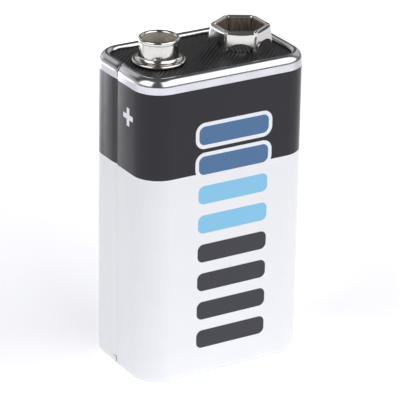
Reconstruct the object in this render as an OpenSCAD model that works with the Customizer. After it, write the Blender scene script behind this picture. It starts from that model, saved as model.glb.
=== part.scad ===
// Nine volt battery: six round cells joined in series stand in a folded steel case. Its
// black top plate carries a round snap stud (+) and a hexagonal snap socket (-).
// Millimetres. The origin is the middle of the base, +Z is up, +X points to the socket,
// and the case's seam runs up the -X side.

/* [Case] */
// Width of the case from seam side to plain side
body_w = 25.9; // [24.5:0.1:26.5]
// Depth of the case from front to back
body_d = 16.4; // [15.5:0.1:17.5]
// Height of the rolled rim above the base
rim_h = 45; // [43:0.1:46]
// Outside radius of the four upright corners
corner_r = 3.9; // [3:0.1:4.4]
// Thickness of the steel sheet
sheet_t = 0.2; // [0.15:0.01:0.25]
// Outside radius of the rim, where the sheet curls over the top plate
curl_r = 0.8; // [0.7:0.05:0.9]
// How far the top plate lies below the rim
board_drop = 0.5; // [0.4:0.05:0.6]
// Outside radius of the bend at the foot of the case
foot_r = 0.8; // [0.6:0.05:1]
// Width of the rim that is folded in under the base, with its bend
flange_w = 2; // [1.4:0.1:2.4]

/* [Seam] */
// Distance of the seam in front of the middle of the -X side
seam_y = 0; // [-0.5:0.1:0.8]
// How far the inner end of the sheet runs on behind the outer end
lap_w = 3; // [2:0.1:3.4]
// Width of the step that takes the sheet inwards to pass behind
joggle_w = 1.2; // [0.6:0.1:1.6]
// Open groove between the outer end and the step
seam_gap = 0.12; // [0.08:0.02:0.2]
// How much wider than the groove the slit is where the ends only meet, in rim and foot
slit_relief = 0.1; // [0.06:0.02:0.2]
// Gap between the ends of the lap and the top and bottom plates
lap_clear = 0.1; // [0.05:0.01:0.2]

/* [Print] */
// Height of the bare metal band, from the top of the rim down
bare_band_h = 2.05; // [1.5:0.05:3]
// Height of the dark field below the bare band
dark_field_h = 12.35; // [8:0.05:20]

/* [Terminals] */
// Distance between the middles of the two terminals
terminal_pitch = 12.9; // [12.45:0.05:12.95]
// Place of the middle between the terminals, to the right of the case's middle
terminal_x = -0.1; // [-0.3:0.05:0.3]
// Distance of the terminals behind the middle of the case
terminal_y = 0.15; // [-0.5:0.05:0.6]
// Thickness of the terminals' sheet
terminal_t = 0.25; // [0.2:0.01:0.3]

/* [Stud] */
// Height of the stud above the top plate
stud_h = 3.6; // [3.2:0.05:3.8]
// Radius of the stud's lip, where a mating socket snaps over it
lip_r = 2.86; // [2.8:0.01:2.92]
// Length of the straight band of the lip
lip_band_h = 0.2; // [0.15:0.05:0.4]
// Rounding of the lip's lower edge
lip_under_r = 0.12; // [0.08:0.02:0.2]
// Radius of the stud's neck, just under its lip
neck_r = 2.6; // [2.5:0.01:2.7]
// Radius of the neck at its lower end, where it widens into the foot
neck_foot_r = 2.78; // [2.7:0.01:2.85]
// Radius of the hollow inside the stud
stud_bore_r = 2.35; // [2.2:0.01:2.4]
// Radius of the stud's round foot
stud_foot_r = 3.7; // [3.6:0.05:3.9]
// Height of the rounded edge of the stud's foot
foot_edge_h = 0.5; // [0.4:0.05:0.6]
// Radius of the sweep from the stud's neck out to its foot
root_fillet_r = 0.6; // [0.3:0.05:0.65]
// Radius of the groove that is pressed up under the stud's foot
foot_groove_r = 0.22; // [0.1:0.02:0.28]

/* [Socket] */
// Height of the socket above the top plate
socket_h = 3.3; // [2.9:0.05:3.7]
// Radius of the socket across the corners of its hexagonal rim
socket_corner_r = 4.25; // [4.1:0.05:4.35]
// Width of the socket's rolled rim
socket_rim_w = 0.75; // [0.6:0.05:0.85]
// Distance from the socket's axis to the foot of each inner leaf
leaf_foot_r = 2.45; // [2.3:0.05:2.6]
// Length of the outer skirts at their corner tips
skirt_l = 2.65; // [2.3:0.05:2.8]
// Length of the outer skirts in the middle of each face
skirt_mid_l = 1.7; // [1.5:0.05:2]
// Radius of the arch that is cut into the bottom of each skirt
skirt_arch_r = 3.2; // [2.4:0.1:3.6]
// Width of the tip that is left at both ends of the arch
skirt_tip_w = 0.3; // [0.2:0.05:0.5]
// How far the skirts lean out at the bottom
skirt_flare = 0.25; // [0:0.05:0.4]
// Width of the slits between the six leaves
leaf_slit_w = 0.14; // [0.1:0.02:0.24]

/* [Rivets] */
// Outside radius of the hollow rivets
rivet_r = 1.1; // [0.9:0.05:1.3]
// Wall thickness of the hollow rivets
rivet_wall = 0.3; // [0.2:0.05:0.4]
// Radius of the rivets' heads
rivet_head_r = 1.8; // [1.6:0.05:1.95]
// Thickness of the rivets' heads
rivet_head_t = 0.26; // [0.2:0.02:0.3]
// Clearance around the rivets in every hole they pass
rivet_gap = 0.03; // [0.02:0.01:0.06]

/* [Plates and cards] */
// Thickness of the black top plate
board_t = 1.2; // [1:0.1:1.4]
// Thickness of the black bottom plate
base_t = 1; // [0.9:0.1:1.2]
// Gap between the case and the plates
plate_gap = 0.12; // [0.08:0.01:0.16]
// Thickness of the two card insulators above and below the cells
card_t = 0.3; // [0.2:0.05:0.4]
// Wall thickness of the card liner around the cells
liner_t = 0.15; // [0.1:0.01:0.2]
// Gap between the case and the liner
liner_gap = 0.05; // [0.03:0.01:0.08]
// Gap between the liner and the two card insulators
card_gap = 0.05; // [0.03:0.01:0.08]

/* [Cells and strips] */
// Gap beside each cell, to its neighbour and to the liner
cell_gap = 0.03; // [0.02:0.01:0.06]
// Radius of the button on each cell's positive end
button_r = 1.9; // [1.6:0.1:2.2]
// Height of the button
button_h = 0.5; // [0.3:0.05:0.7]
// Rounding of the cells' ends
cell_edge_r = 0.4; // [0.2:0.05:0.6]
// Radius of the cap on each cell's negative end
cap_r = 2.5; // [2.2:0.1:2.8]
// Width of the groove around the cap
cap_groove_w = 0.5; // [0.3:0.05:0.7]
// Depth of the groove around the cap
cap_groove_h = 0.35; // [0.2:0.05:0.5]
// Thickness of the metal strips that join the cells
strip_t = 0.15; // [0.1:0.01:0.2]
// Width of the strips
strip_w = 2.6; // [2.2:0.1:2.8]
// How far the foot of each terminal's strip reaches past the middle of its cell
strip_foot = 1.2; // [0.6:0.1:1.6]
// Gap around the strips where they pass the upper card
slot_gap = 0.15; // [0.1:0.05:0.25]
// Free height between the rivets' lower heads and the upper card
rivet_air = 0.5; // [0.3:0.05:0.8]

/* [Hidden] */
$fn = 64;

steel = "#d8d9de";
nickel = "#cfccc6";
dark_print = "#3e3c44";
white_print = "#eff1f6";
black_plastic = "#26262a";
card_grey = "#b9b3a4";

// Heights, from the base up
base_z1 = sheet_t + base_t;
lower_card_z1 = base_z1 + card_t;
cell_z0 = lower_card_z1 + strip_t;
board_z1 = rim_h - board_drop;
board_z0 = board_z1 - board_t;
lead_room = strip_t + rivet_head_t + rivet_air;
upper_card_z0 = board_z0 - lead_room - card_t;
cell_z1 = upper_card_z0 - strip_t;
cell_l = cell_z1 - cell_z0;
curl_z = rim_h - curl_r;
bare_z = rim_h - bare_band_h;
dark_z = bare_z - dark_field_h;

// The lap of the sheet keeps clear of both plates
lap_z0 = base_z1 + lap_clear;
lap_z1 = board_z0 - lap_clear;
step_y0 = seam_y + seam_gap;
step_y1 = step_y0 + joggle_w;

// The liner clears both layers of the lap at the -X side, and is made the same at +X
liner_w = body_w - 2 * (2 * sheet_t + liner_gap);
liner_d = body_d - 2 * (sheet_t + liner_gap);
liner_r = corner_r - 2 * sheet_t - liner_gap;
room_w = liner_w - 2 * liner_t;
room_d = liner_d - 2 * liner_t;
room_r = liner_r - liner_t;

// The cells are as thick as three across and two deep allow, and stand as one bundle
cell_d = min((room_w - 4 * cell_gap) / 3, (room_d - 3 * cell_gap) / 2);
cell_pitch = cell_d + cell_gap;

// Cells 1 to 6 stand in a zigzag, so that each one's neighbour is next in the chain
function cell_at(i) = [
    (floor((i - 1) / 2) - 1) * cell_pitch,
    ((i % 4 == 1 || i % 4 == 0) ? -1 : 1) * cell_pitch / 2
];
function terminal_at(side) = [terminal_x + side * terminal_pitch / 2, terminal_y];

// A box between two opposite corners, in any order
module block(a, b)
    translate([min(a.x, b.x), min(a.y, b.y), min(a.z, b.z)])
        cube([abs(a.x - b.x), abs(a.y - b.y), abs(a.z - b.z)]);

// Outline of a plate with round corners
module rounded(w, d, r) {
    square([w - 2 * r, d], center = true);
    square([w, d - 2 * r], center = true);
    for (x = [-1, 1], y = [-1, 1])
        translate([x * (w / 2 - r), y * (d / 2 - r)])
            circle(r = r);
}

// A plate that lies a given distance inside the case's outer face
module case_plate(inset, t)
    linear_extrude(height = t)
        rounded(body_w - 2 * inset, body_d - 2 * inset, corner_r - inset);

// Takes a section, x inwards from the outer face and y up, once around the case
module around_case()
    for (turn = [0 : 3]) {
        across = turn % 2 == 0 ? body_w : body_d;
        run = (turn % 2 == 0 ? body_d : body_w) - 2 * corner_r;
        rotate([0, 0, 90 * turn])
            translate([-across / 2, run / 2, 0]) {
                rotate([90, 0, 0])
                    linear_extrude(height = run)
                        children();
                translate([corner_r, 0, 0])
                    rotate([0, 0, 90])
                        rotate_extrude(angle = 90)
                            translate([corner_r, 0])
                                mirror([1, 0])
                                    children();
            }
    }

// Section of the upright wall between two heights
module wall_section(z0, z1)
    translate([0, z0])
        square([sheet_t, z1 - z0]);

// Section of the rim: the sheet rolls over and its edge comes down on the top plate
module curl_section()
    difference() {
        translate([curl_r, curl_z])
            circle(r = curl_r);
        translate([curl_r, curl_z])
            circle(r = curl_r - sheet_t);
        translate([-curl_r, curl_z - 2 * curl_r])
            square([4 * curl_r, 2 * curl_r]);
        translate([curl_r, curl_z - curl_r])
            square([2 * curl_r, board_z1 - curl_z + curl_r]);
    }

// Section of the foot: the sheet bends in under the bottom plate
module foot_section() {
    difference() {
        translate([foot_r, foot_r])
            circle(r = foot_r);
        translate([foot_r, foot_r])
            circle(r = foot_r - sheet_t);
        translate([-foot_r, foot_r])
            square([4 * foot_r, 2 * foot_r]);
        translate([foot_r, -foot_r])
            square([2 * foot_r, 4 * foot_r]);
    }
    translate([foot_r, 0])
        square([flange_w - foot_r, sheet_t]);
}

// The inner end of the sheet steps in and runs on behind the outer end
module lap() {
    outer = -body_w / 2;
    translate([0, 0, lap_z0])
        linear_extrude(height = lap_z1 - lap_z0)
            polygon([
                [outer, step_y1],
                [outer + sheet_t, step_y0],
                [outer + sheet_t, seam_y - lap_w],
                [outer + 2 * sheet_t, seam_y - lap_w],
                [outer + 2 * sheet_t, step_y0],
                [outer + sheet_t, step_y1]
            ]);
}

// What the lap takes out of the plain wall, and the slits where the ends only meet
module seam_cut() {
    outer = -body_w / 2;
    translate([0, 0, lap_z0])
        linear_extrude(height = lap_z1 - lap_z0)
            polygon([
                [outer - sheet_t, seam_y],
                [outer - sheet_t, step_y1],
                [outer, step_y1],
                [outer + sheet_t, step_y0],
                [outer + sheet_t, seam_y]
            ]);
    slit_x = outer + 2 * flange_w;
    slit_y = step_y0 + slit_relief;
    block([outer - sheet_t, seam_y, -sheet_t], [slit_x, slit_y, lap_z0]);
    block([outer - sheet_t, seam_y, lap_z1], [slit_x, slit_y, rim_h + sheet_t]);
}

// The case is one folded sheet, with its print as fields of colour
module jacket() {
    difference() {
        union() {
            color(steel)
                around_case() {
                    curl_section();
                    wall_section(bare_z, curl_z);
                }
            color(dark_print)
                around_case()
                    wall_section(dark_z, bare_z);
            color(white_print)
                around_case() {
                    wall_section(foot_r, dark_z);
                    foot_section();
                }
        }
        seam_cut();
    }
    color(steel)
        lap();
}

// Black plate that closes the top, held under the curl
module top_board()
    color(black_plastic)
        difference() {
            translate([0, 0, board_z0])
                case_plate(sheet_t + plate_gap, board_t);
            for (side = [-1, 1])
                translate(concat(terminal_at(side), [board_z0 - board_t]))
                    cylinder(r = rivet_r + rivet_gap, h = 3 * board_t);
        }

// Black plate that closes the bottom: its lower half clears the bend of the foot
module bottom_plate()
    color(black_plastic) {
        translate([0, 0, sheet_t])
            case_plate(foot_r + plate_gap, base_t);
        translate([0, 0, foot_r])
            case_plate(sheet_t + plate_gap, base_z1 - foot_r);
    }

// Half section of the stud: a cup with a rolled lip, a neck that widens downwards and a foot
module stud_section() {
    roll_r = (lip_r - stud_bore_r) / 2;
    band_z1 = stud_h - roll_r;
    band_z0 = band_z1 - lip_band_h;
    neck_z1 = band_z0 - lip_under_r;
    edge_r = foot_edge_h / 2;
    edge_x = stud_foot_r - edge_r;
    sweep_r = min(root_fillet_r, edge_x - neck_foot_r);
    hole_r = rivet_r + rivet_gap;
    translate([hole_r, 0])
        square([stud_bore_r - hole_r, terminal_t]);
    polygon([
        [stud_bore_r, 0],
        [neck_foot_r, 0],
        [neck_foot_r, foot_edge_h + sweep_r],
        [neck_r, neck_z1],
        [neck_r, band_z1],
        [stud_bore_r, band_z1]
    ]);
    translate([neck_r, neck_z1])
        square([lip_r - lip_under_r - neck_r, lip_under_r]);
    translate([lip_r - lip_under_r, band_z0])
        circle(r = lip_under_r);
    translate([neck_r, band_z0])
        square([lip_r - neck_r, lip_band_h]);
    translate([lip_r - roll_r, band_z1])
        circle(r = roll_r);
    difference() {
        union() {
            translate([neck_foot_r, 0])
                square([edge_x - neck_foot_r, foot_edge_h]);
            translate([edge_x, edge_r])
                circle(r = edge_r);
            translate([neck_foot_r, foot_edge_h])
                square(sweep_r);
        }
        translate([neck_foot_r + sweep_r, foot_edge_h + sweep_r])
            circle(r = sweep_r);
        translate([(neck_foot_r + edge_x) / 2, 0])
            circle(r = foot_groove_r);
    }
}

module positive_stud()
    color(nickel)
        translate(concat(terminal_at(-1), [board_z1]))
            rotate_extrude()
                stud_section();

// Section through one leaf of the socket, x outwards and y up
module leaf_section(face_r) {
    roll_r = socket_rim_w / 2;
    roll_z = socket_h - roll_r;
    tip_z = socket_h - skirt_l;
    difference() {
        translate([face_r - roll_r, roll_z])
            circle(r = roll_r);
        translate([face_r - roll_r, roll_z])
            circle(r = roll_r - terminal_t);
        translate([0, roll_z - 2 * roll_r])
            square([2 * face_r, 2 * roll_r]);
    }
    polygon([
        [face_r - terminal_t, roll_z],
        [face_r, roll_z],
        [face_r + skirt_flare, tip_z],
        [face_r + skirt_flare - terminal_t, tip_z]
    ]);
    polygon([
        [leaf_foot_r, 0],
        [leaf_foot_r + terminal_t, 0],
        [leaf_foot_r + terminal_t, terminal_t],
        [face_r - socket_rim_w + terminal_t, roll_z],
        [face_r - socket_rim_w, roll_z],
        [leaf_foot_r, terminal_t]
    ]);
}

// One leaf of the socket: up from the base, over the rim and down as an outer skirt
module socket_leaf() {
    face_r = socket_corner_r * cos(30);
    half = (face_r - leaf_slit_w) * tan(30);
    far = face_r + 2 * skirt_flare + terminal_t;
    arch_z = socket_h - skirt_mid_l - skirt_arch_r;
    difference() {
        intersection() {
            translate([0, face_r, 0])
                rotate([90, 0, 0])
                    linear_extrude(height = 2 * face_r)
                        leaf_section(face_r);
            linear_extrude(height = socket_h)
                polygon([[leaf_slit_w, 0], [face_r, half], [far, half], [far, -half], [face_r, -half]]);
        }
        intersection() {
            translate([face_r - 2 * terminal_t, 0, arch_z])
                rotate([0, 90, 0])
                    cylinder(r = skirt_arch_r, h = far);
            block([0, skirt_tip_w - half, arch_z], [2 * far, half - skirt_tip_w, socket_h]);
        }
    }
}

module negative_socket()
    color(nickel)
        translate(concat(terminal_at(1), [board_z1])) {
            for (turn = [0 : 5])
                rotate([0, 0, 60 * turn])
                    socket_leaf();
            difference() {
                rotate([0, 0, 30])
                    cylinder(r = (leaf_foot_r + terminal_t / 2) / cos(30), h = terminal_t, $fn = 6);
                translate([0, 0, -terminal_t])
                    cylinder(r = rivet_r + rivet_gap, h = 3 * terminal_t);
            }
        }

// Half section of a rivet's head, from its bore to a round edge
module rivet_head_section(z)
    translate([0, z]) {
        edge_r = rivet_head_t / 2;
        translate([rivet_r - rivet_wall, 0])
            square([rivet_head_r - edge_r - rivet_r + rivet_wall, rivet_head_t]);
        translate([rivet_head_r - edge_r, edge_r])
            circle(r = edge_r);
    }

// Hollow rivet that clamps a terminal, the top plate and a strip together
module rivet(side) {
    low_z = board_z0 - strip_t - rivet_head_t;
    high_z = board_z1 + terminal_t;
    color(nickel)
        translate(concat(terminal_at(side), [0]))
            rotate_extrude() {
                rivet_head_section(low_z);
                rivet_head_section(high_z);
                translate([rivet_r - rivet_wall, low_z])
                    square([rivet_wall, high_z + rivet_head_t - low_z]);
            }
}

// Folded strip from a rivet, under the top plate, down to the end cell of the chain
module lead(side) {
    rivet_at = terminal_at(side);
    cell = side < 0 ? cell_at(1) : cell_at(6);
    fold_x = rivet_at.x + side * strip_w / 2;
    end_y = cell.y + side * strip_w / 2;
    under_board = board_z0 - strip_t;
    color(nickel)
        difference() {
            union() {
                translate(concat(rivet_at, [under_board]))
                    cylinder(d = strip_w, h = strip_t);
                block([fold_x, rivet_at.y, under_board],
                    [fold_x - side * strip_w, end_y, board_z0]);
                block([fold_x, end_y, cell_z1],
                    [fold_x - side * strip_t, end_y - side * strip_w, board_z0]);
                block([fold_x - side * strip_t, end_y, cell_z1],
                    [cell.x + side * strip_foot, end_y - side * strip_w, cell_z1 + strip_t]);
            }
            translate(concat(rivet_at, [under_board - strip_t]))
                cylinder(r = rivet_r + rivet_gap, h = 3 * strip_t);
        }
}

// Half section of a cell, standing on its negative cap with its positive button on top
module cell_section() {
    shoulder_z = cell_l - button_h;
    core_r = cell_d / 2 - cell_edge_r;
    difference() {
        union() {
            square([core_r, shoulder_z]);
            translate([0, cell_edge_r])
                square([cell_d / 2, shoulder_z - 2 * cell_edge_r]);
            for (z = [cell_edge_r, shoulder_z - cell_edge_r])
                translate([core_r, z])
                    circle(r = cell_edge_r);
            square([button_r, cell_l]);
        }
        translate([cap_r, 0])
            square([cap_groove_w, cap_groove_h]);
    }
}

// Odd cells stand with the positive end up, even cells with it down
module cell(i) {
    upright = i % 2 == 1;
    color(steel)
        translate(concat(cell_at(i), [upright ? cell_z0 : cell_z1]))
            rotate([upright ? 0 : 180, 0, 0])
                rotate_extrude()
                    cell_section();
}

// Strip with round ends that joins cell i to the next one, below odd cells and above even ones
module link(i) {
    from = cell_at(i);
    to = cell_at(i + 1);
    reach = norm(to - from);
    color(nickel)
        translate(concat(from, [i % 2 == 1 ? cell_z0 - strip_t : cell_z1]))
            rotate([0, 0, atan2(to.y - from.y, to.x - from.x)])
                linear_extrude(height = strip_t) {
                    circle(d = strip_w);
                    translate([reach, 0])
                        circle(d = strip_w);
                    translate([0, -strip_w / 2])
                        square([reach, strip_w]);
                }
}

// Card insulator that fills the liner
module card(z)
    translate([0, 0, z])
        linear_extrude(height = card_t)
            rounded(room_w - 2 * card_gap, room_d - 2 * card_gap, room_r - card_gap);

// The upper card has a slot for each terminal's strip
module upper_card()
    color(card_grey)
        difference() {
            card(upper_card_z0);
            for (side = [-1, 1]) {
                cell_row = side < 0 ? cell_at(1).y : cell_at(6).y;
                fold_x = terminal_at(side).x + side * strip_w / 2;
                half = strip_w / 2 + slot_gap;
                block([fold_x + side * slot_gap, cell_row - half, upper_card_z0 - card_t],
                    [fold_x - side * (strip_t + slot_gap), cell_row + half, board_z0]);
            }
        }

module lower_card()
    color(card_grey)
        card(base_z1);

// Card liner that stands on the bottom plate, wraps the cells and carries the top plate
module liner()
    color(card_grey)
        translate([0, 0, base_z1])
            linear_extrude(height = board_z0 - base_z1)
                difference() {
                    rounded(liner_w, liner_d, liner_r);
                    rounded(room_w, room_d, room_r);
                }

jacket();
top_board();
positive_stud();
negative_socket();
rivet(-1);  // positive_rivet
rivet(1);  // negative_rivet
lead(-1);  // positive_lead
lead(1);  // negative_lead
cell(1);  // cell_1
cell(2);  // cell_2
cell(3);  // cell_3
cell(4);  // cell_4
cell(5);  // cell_5
cell(6);  // cell_6
link(1);  // link_1_2
link(2);  // link_2_3
link(3);  // link_3_4
link(4);  // link_4_5
link(5);  // link_5_6
upper_card();
lower_card();
bottom_plate();
liner();
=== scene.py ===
import math

import bmesh
import bpy
from bpy.props import FloatProperty, FloatVectorProperty, IntProperty, PointerProperty
from mathutils import Matrix, Vector


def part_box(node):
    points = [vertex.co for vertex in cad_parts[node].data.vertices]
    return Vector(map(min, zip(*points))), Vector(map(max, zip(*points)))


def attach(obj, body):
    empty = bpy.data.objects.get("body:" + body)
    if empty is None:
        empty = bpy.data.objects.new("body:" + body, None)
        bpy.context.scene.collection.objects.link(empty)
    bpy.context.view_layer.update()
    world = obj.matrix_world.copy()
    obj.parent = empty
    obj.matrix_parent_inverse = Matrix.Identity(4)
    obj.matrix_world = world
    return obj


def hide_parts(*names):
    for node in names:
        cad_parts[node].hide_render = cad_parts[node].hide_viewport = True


bl_info = {
    "name": "Nine Volt Battery",
    "version": (1, 0, 0),
    "blender": (4, 5, 0),
    "location": "3D View > Sidebar > Battery",
    "description": "Adds a nine volt battery: folded printed case, ribbed top plate and snap terminals",
    "category": "Add Mesh",
}

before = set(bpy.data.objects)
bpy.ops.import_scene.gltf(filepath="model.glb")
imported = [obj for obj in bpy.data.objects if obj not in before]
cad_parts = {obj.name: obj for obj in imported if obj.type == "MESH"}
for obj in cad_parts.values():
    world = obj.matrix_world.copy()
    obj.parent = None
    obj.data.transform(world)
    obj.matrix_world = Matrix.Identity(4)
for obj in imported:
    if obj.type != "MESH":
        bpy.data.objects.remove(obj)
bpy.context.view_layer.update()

MM = 0.001
TOLERANCE = MM / 100
BODY = "root"
CASE_LOW, CASE_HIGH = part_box("jacket")
BOARD_LOW, BOARD_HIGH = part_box("top_board")
STUD_LOW, STUD_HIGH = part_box("positive_stud")
SOCKET_LOW, SOCKET_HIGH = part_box("negative_socket")


def linear(*levels):
    """Colour levels from 0 to 255, as a screen shows them, as the linear values that shaders take."""
    return [
        level / 255 / 12.92 if level <= 10 else ((level / 255 + 0.055) / 1.055) ** 2.4
        for level in levels
    ]


def length(name, description, default_mm):
    """A length in metres, given here in millimetres."""
    return FloatProperty(
        name=name, description=description, default=default_mm * MM, unit="LENGTH", precision=6)


def lengths(name, description, *ends_mm):
    """Both ends of a stretch, given here in millimetres."""
    return FloatVectorProperty(
        name=name, description=description, default=[end * MM for end in ends_mm], size=2, unit="LENGTH")


def angle(name, description, degrees):
    """An angle, given here in degrees."""
    return FloatProperty(
        name=name, description=description, default=math.radians(degrees), subtype="ANGLE")


def angles(name, description, *ends):
    """Both ends of a range of angles, given here in degrees."""
    return FloatVectorProperty(
        name=name, description=description, default=[math.radians(end) for end in ends], size=2,
        subtype="EULER")


def colour(name, description, *levels):
    """A colour, given here as screen levels."""
    return FloatVectorProperty(
        name=name, description=description, default=linear(*levels), subtype="COLOR")


def darker(colour_value, share):
    """A colour at a share of its brightness."""
    return [level * share for level in colour_value]


class CaseSettings(bpy.types.PropertyGroup):
    """Sizes and colours of the folded steel case"""

    corner_radius: length("Corner radius", "Outside radius of the upright corners", 3.9)
    sheet: length("Sheet", "Thickness of the steel sheet", 0.2)
    shoulder_radius: length("Shoulder radius", "Outside radius of the rim where it leaves the wall", 1.3)
    shoulder_turn: angle("Shoulder turn", "Angle through which the shoulder bends", 60)
    curl_radius: length("Curl radius", "Outside radius of the rim where it rolls over and down", 0.6)
    foot_radius: length("Foot radius", "Outside radius of the bend at the foot", 0.8)
    flange_width: length("Flange width", "Width of the rim that is folded in under the base", 2.0)
    seam_gap: length("Seam gap", "Open groove between the outer end of the sheet and its step", 0.12)
    slit_width: length("Slit width", "Slit between the sheet's ends in the rim and the foot", 0.22)
    joggle_width: length("Joggle width", "Width of the step that takes the sheet inwards", 1.2)
    lap_width: length("Lap width", "How far the sheet runs on behind its outer end", 3.0)
    lap_clearance: length("Lap clearance", "Gap between the lap and the two plates", 0.1)
    bow_turn: angle("Bow", "How far the dark print of the narrow sides turns back towards the corners", 14)
    bare_band: length("Bare band", "Height of the bare metal at the rim", 2.05)
    dark_field: length("Dark field", "Height of the dark print below the bare band", 12.35)
    edge_round: length("Edge rounding", "Rounding of the sheet's cut edges", 0.03)
    steel_colour: colour("Steel", "Tinned steel of the rim", 226, 226, 231)
    dark_colour: colour("Dark print", "Ground of the dark field", 21, 18, 29)
    white_colour: colour("White print", "Ground of the white field", 241, 242, 245)


class PrintSettings(bpy.types.PropertyGroup):
    """Sizes and colours of the printed marks"""

    bar_count: IntProperty(name="Bars", description="Number of bars on each broad face", default=8, min=2)
    bar_width: length("Bar width", "Width of each bar", 11.0)
    bar_height: length("Bar height", "Height of each bar", 2.7)
    bar_pitch: length("Bar pitch", "Distance from one bar to the next", 4.35)
    bar_radius: length("Bar corner radius", "Radius of the bars' corners", 0.9)
    bar_x: length("Bar middle", "Middle of the bars, across the broad face", 0.6)
    bar_z: length("Lowest bar", "Height of the middle of the lowest bar", 5.6)
    bar_outline: length("Bar outline", "Width of the white line around bars on the dark field", 0.55)
    low_colour: colour("Low bars", "Colour of the lower bars", 50, 50, 58)
    middle_colour: colour("Middle bars", "Colour of the bars in between", 135, 200, 235)
    high_colour: colour("High bars", "Colour of the bars at the top", 74, 113, 158)
    mark_colour: colour("Marks", "Signs, and lines around the bars on the dark field", 240, 242, 248)
    sign_length: length("Sign length", "Length of the strokes of the plus and minus signs", 2.6)
    sign_stroke: length("Sign stroke", "Width of the strokes of the signs", 0.72)
    sign_y: length("Sign place", "Distance of the signs from the middle of their side", 2.87)
    sign_z: length("Sign height", "Height of the middle of the signs", 38.6)


class BoardSettings(bpy.types.PropertyGroup):
    """Sizes and colours of the plates"""

    rib_pitch: length("Rib pitch", "Distance from one rib to the next", 0.52)
    rib_depth: length("Rib depth", "Depth of the grooves between the ribs", 0.09)
    hole_radius: length("Hole radius", "Radius of the holes for the rivets", 1.13)
    plate_colour: colour("Plate", "Black plastic of the top and bottom plates", 22, 22, 27)


class TerminalSettings(bpy.types.PropertyGroup):
    """Sizes and colours of the stud, the socket and their rivets"""

    sheet: length("Sheet", "Thickness of the terminals' sheet", 0.25)
    lip_radius: length("Lip radius", "Radius of the stud's lip", 2.86)
    lip_band: length("Lip band", "Length of the straight band of the lip", 0.2)
    lip_under: length("Lip underside", "Rounding of the lip's lower edge", 0.12)
    neck_radius: length("Neck radius", "Radius of the stud's neck, just under its lip", 2.6)
    neck_foot: length("Neck foot", "Radius of the neck where it widens into the foot", 2.78)
    bore_radius: length("Bore radius", "Radius of the hollow in the stud", 2.25)
    bead_height: length("Bead height", "Height of the rounded edge of the stud's foot", 0.5)
    sweep_radius: length("Sweep radius", "Radius of the sweep from the stud's neck out to its foot", 0.6)
    groove_radius: length("Groove radius", "Radius of the groove under the stud's foot", 0.22)
    rim_width: length("Rim width", "Width of the socket's rolled rim", 0.75)
    rim_fall: length("Rim fall", "Height over which the rim rolls down in the middle of a leaf", 0.72)
    rim_corner: length("Rim corner", "How far the rim's corners are rounded down", 0.16)
    leaf_foot: length("Leaf foot", "Distance from the socket's axis to the foot of each leaf", 2.45)
    skirt: length("Skirt", "Length of the socket's skirts at their corner tips", 2.65)
    skirt_middle: length("Skirt middle", "Length of the skirts in the middle of each leaf", 1.7)
    skirt_arch: length("Skirt arch", "Radius of the arch at the bottom of each skirt", 3.2)
    skirt_tip: length("Skirt tip", "Width of the tip at both ends of the arch", 0.3)
    skirt_flare: length("Skirt flare", "How far the skirts lean out at the bottom", 0.25)
    skirt_curve: FloatProperty(
        name="Skirt curve", description="How late the skirts start to lean out, 1 for a straight lean",
        default=1.4)
    leaf_slit: length("Leaf slit", "Width of the slits between the leaves", 0.14)
    edge_round: length("Edge rounding", "Rounding of the socket's cut edges", 0.04)
    rivet_radius: length("Rivet radius", "Outside radius of the hollow rivets", 1.1)
    rivet_wall: length("Rivet wall", "Wall of the hollow rivets", 0.3)
    head_radius: length("Head radius", "Radius of the rivets' heads", 1.8)
    head_thickness: length("Head thickness", "Thickness of the rivets' heads", 0.26)
    nickel_colour: colour("Nickel", "Bright nickel plating", 228, 226, 221)
    stud_tarnish: colour("Stud tarnish", "Dulled nickel in the stud's hollow", 214, 205, 191)
    socket_tarnish: colour("Socket tarnish", "Dulled nickel in the socket's hollow", 150, 134, 124)
    rivet_colour: colour("Rivets", "Dulled nickel of the rivets", 190, 179, 164)


class InsideSettings(bpy.types.PropertyGroup):
    """Colours of the pieces inside the case"""

    can_colour: colour("Cans", "Drawn steel cans of the cells", 205, 206, 210)
    strip_colour: colour("Strips", "Nickel strips between the cells", 200, 197, 190)
    card_colour: colour("Card", "Card of the insulators and the liner", 186, 178, 160)
    fibre_colour: colour("Fibres", "Darker fibres in the card", 160, 150, 130)


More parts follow.
